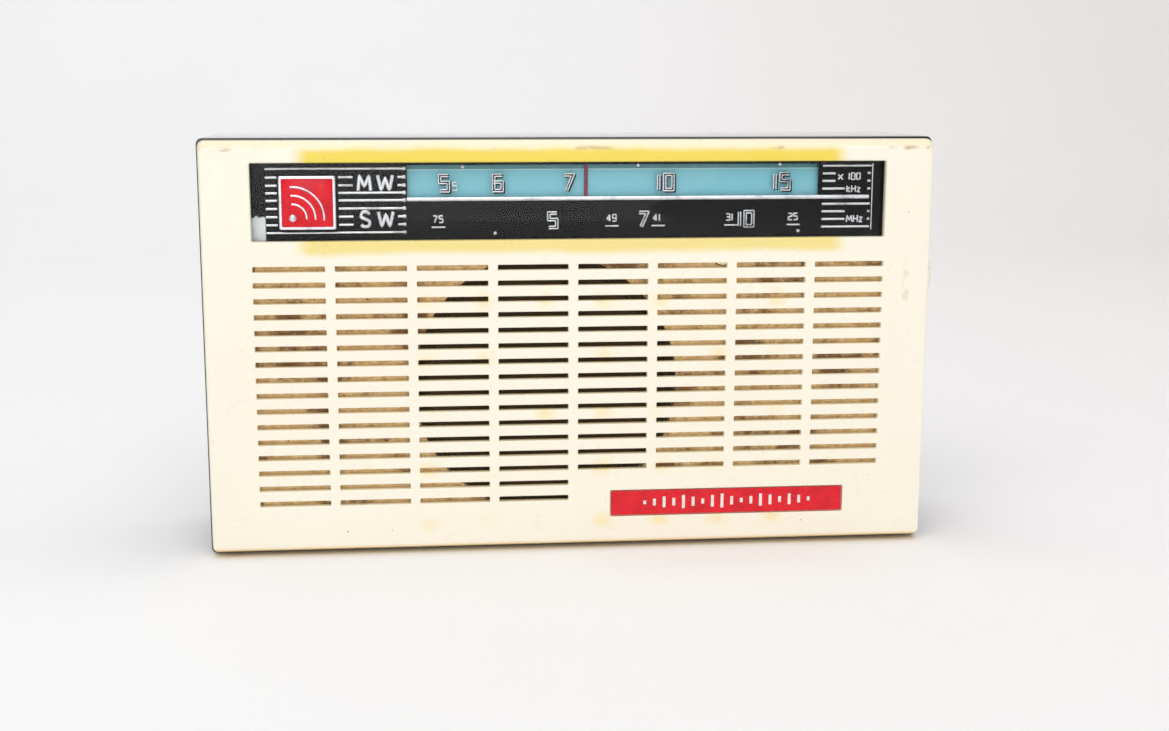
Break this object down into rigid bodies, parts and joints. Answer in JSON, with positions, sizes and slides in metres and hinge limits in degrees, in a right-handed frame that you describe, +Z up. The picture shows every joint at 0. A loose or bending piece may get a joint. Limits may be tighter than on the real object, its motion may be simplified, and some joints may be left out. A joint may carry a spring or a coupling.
{
  "type": "transistor portable radio",
  "caption": "Slim two-band transistor portable: ivory slotted front, dial window with moving pointer, thumbwheel controls and a black rear case that pulls off over the works.",
  "frame": {"origin": "middle of the flat base, half way between the front face and the back of the case", "axes": "+X to the right seen from the front, the dial faces -Y, +Z up"},
  "size_m": [0.1776, 0.04, 0.0996],
  "materials": {
    "ivory_plastic": "moulded ivory plastic, aged cream, satin gloss, yellowed beside the dial",
    "black_plastic": "glossy black moulded plastic",
    "clear_lens": "clear moulded acrylic with fine scratches",
    "dial_black": "black dial foil with bright chrome scale lines and numbers",
    "dial_teal": "teal scale backing, faintly mottled",
    "badge_red": "red enamelled plate",
    "pointer_maroon": "maroon pointer needle",
    "chrome_trim": "bright hot-stamped chrome",
    "plated_steel": "zinc plated sheet steel",
    "spun_aluminium": "bare satin aluminium",
    "brass": "turned brass",
    "baffle_fibreboard": "tan pressed fibreboard with brown stains",
    "cone_paper": "black felted paper",
    "magnet_ceramic": "dark sintered magnet in a plated pot",
    "laminate": "brown phenolic laminate with copper tracks",
    "ferrite": "dark grey ferrite",
    "litz_winding": "silk covered copper wire wound on a paper tube",
    "nylon": "natural nylon",
    "drive_cord": "plaited dial cord",
    "battery_can": "printed steel battery case without lettering",
    "red_wire": "red insulated hook-up wire",
    "black_wire": "black insulated hook-up wire"
  },
  "bodies": {
    "front_assembly": {"front_panel": "ivory_plastic", "name_badge": "badge_red", "dial_lens": "clear_lens", "dial_mask": "dial_black", "dial_backing": "dial_teal", "emblem_plate": "chrome_trim", "drive_bracket": "plated_steel", "guide_rail": "plated_steel", "dial_cord": "drive_cord", "gang_frame": "spun_aluminium", "gang_stator": "spun_aluminium", "bracket_screw_left": "plated_steel", "bracket_screw_right": "plated_steel", "baffle_board": "baffle_fibreboard", "speaker_basket": "plated_steel", "speaker_cone": "cone_paper", "speaker_magnet": "magnet_ceramic", "circuit_board": "laminate", "board_screw_1": "plated_steel", "board_screw_2": "plated_steel", "board_screw_3": "plated_steel", "if_can_1": "spun_aluminium", "if_can_2": "spun_aluminium", "if_can_3": "spun_aluminium", "oscillator_can": "spun_aluminium", "transistor_1": "spun_aluminium", "transistor_2": "spun_aluminium", "transistor_3": "spun_aluminium", "transistor_4": "spun_aluminium", "transistor_5": "spun_aluminium", "transistor_6": "spun_aluminium", "electrolytic_capacitor": "spun_aluminium", "driver_transformer": "plated_steel", "output_transformer": "plated_steel", "volume_pot": "laminate", "band_switch_body": "plated_steel", "earphone_socket": "brass", "aerial_socket": "brass", "ferrite_rod": "ferrite", "mw_coil": "litz_winding", "sw_coil": "litz_winding", "rod_holder_left": "nylon", "rod_holder_right": "nylon", "battery_tray": "black_plastic", "battery": "battery_can", "battery_snap": "black_plastic", "battery_lead_red": "red_wire", "battery_lead_black": "black_wire", "cover_pillar": "brass"},
    "tuning_spindle": {"tuning_wheel": "ivory_plastic", "tuning_drum": "brass"},
    "pointer_carriage": {"pointer": "pointer_maroon"},
    "gang_rotor": {"gang_rotor": "spun_aluminium"},
    "idler_left": {"idler_left": "nylon"},
    "idler_upper_right": {"idler_upper_right": "nylon"},
    "idler_lower_right": {"idler_lower_right": "nylon"},
    "volume_spindle": {"volume_wheel": "ivory_plastic"},
    "band_switch_slider": {"band_switch_knob": "black_plastic"},
    "rear_cover": {"rear_case": "black_plastic"},
    "cover_screw": {"cover_screw": "chrome_trim"}
  },
  "joints": [
    {"name": "tuning_turn", "type": "hinge", "parent": "front_assembly", "child": "tuning_spindle", "pos_m": [0.0753, 0, 0.0652], "axis": [0, 1, 0], "range_deg": [-285, 384.6]},
    {"name": "pointer_travel", "type": "slide", "parent": "front_assembly", "child": "pointer_carriage", "axis": [1, 0, 0], "range_m": [-0.0398, 0.0537]},
    {"name": "gang_turn", "type": "hinge", "parent": "front_assembly", "child": "gang_rotor", "pos_m": [0.0753, 0, 0.0652], "axis": [0, 1, 0], "range_deg": [-76.09, 102.69]},
    {"name": "idler_left_turn", "type": "hinge", "parent": "front_assembly", "child": "idler_left", "pos_m": [-0.072, 0, 0.081], "axis": [0, 1, 0], "range_deg": [-950, 1282]},
    {"name": "idler_upper_turn", "type": "hinge", "parent": "front_assembly", "child": "idler_upper_right", "pos_m": [0.0809, 0, 0.081], "axis": [0, 1, 0], "range_deg": [-950, 1282]},
    {"name": "idler_lower_turn", "type": "hinge", "parent": "front_assembly", "child": "idler_lower_right", "pos_m": [0.0649, 0, 0.0762], "axis": [0, 1, 0], "range_deg": [-1282, 950]},
    {"name": "volume_turn", "type": "hinge", "parent": "front_assembly", "child": "volume_spindle", "pos_m": [0.07795, 0, 0.036], "axis": [0, 1, 0], "range_deg": [0, 285]},
    {"name": "band_switch_slide", "type": "slide", "parent": "front_assembly", "child": "band_switch_slider", "axis": [1, 0, 0], "range_m": [0, 0.005]},
    {"name": "rear_cover_slide", "type": "slide", "parent": "front_assembly", "child": "rear_cover", "axis": [0, 1, 0], "range_m": [0, 0.06]},
    {"name": "cover_screw_turn", "type": "hinge", "parent": "rear_cover", "child": "cover_screw", "pos_m": [0, 0, 0.079], "axis": [0, 1, 0], "continuous": true}
  ],
  "couplings": [
    {"joint": "pointer_travel", "follows": "tuning_turn", "m_per_rad": 0.008},
    {"joint": "gang_turn", "follows": "tuning_turn", "ratio": 0.267},
    {"joint": "idler_left_turn", "follows": "tuning_turn", "ratio": 3.3333},
    {"joint": "idler_upper_turn", "follows": "tuning_turn", "ratio": 3.3333},
    {"joint": "idler_lower_turn", "follows": "tuning_turn", "ratio": -3.3333}
  ]
}
